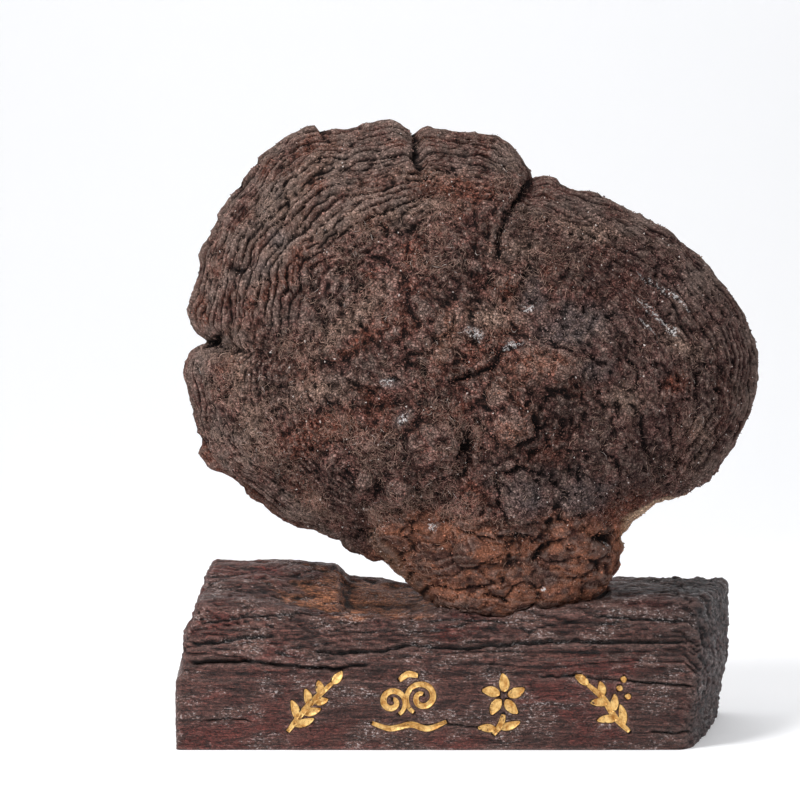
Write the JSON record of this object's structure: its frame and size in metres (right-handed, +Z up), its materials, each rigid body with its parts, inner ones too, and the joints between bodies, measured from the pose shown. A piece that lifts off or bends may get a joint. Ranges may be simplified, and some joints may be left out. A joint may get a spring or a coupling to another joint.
{
  "type": "bracket fungus on a timber stand",
  "caption": "Large old lobed bracket fungus with a ridged, knobbly dark brown crust and a pale pore side, its foot seated in the worn top of a weathered timber block.",
  "frame": {"origin": "middle of the whole object's box, on the surface that it stands on", "axes": "+Z up, -Y towards the viewer who faces the crusted side, +X to that viewer's right"},
  "size_m": [0.4162, 0.1764, 0.4469],
  "materials": {
    "bracket_fungus": "dry, corky, ridged dark brown crust, cream pore side",
    "timber_stand": "weathered dark red-brown timber under a thin lacquer, with gilded carving low on the front"
  },
  "bodies": {
    "root": {"bracket_fungus": "bracket_fungus", "timber_stand": "timber_stand"}
  },
  "joints": []
}
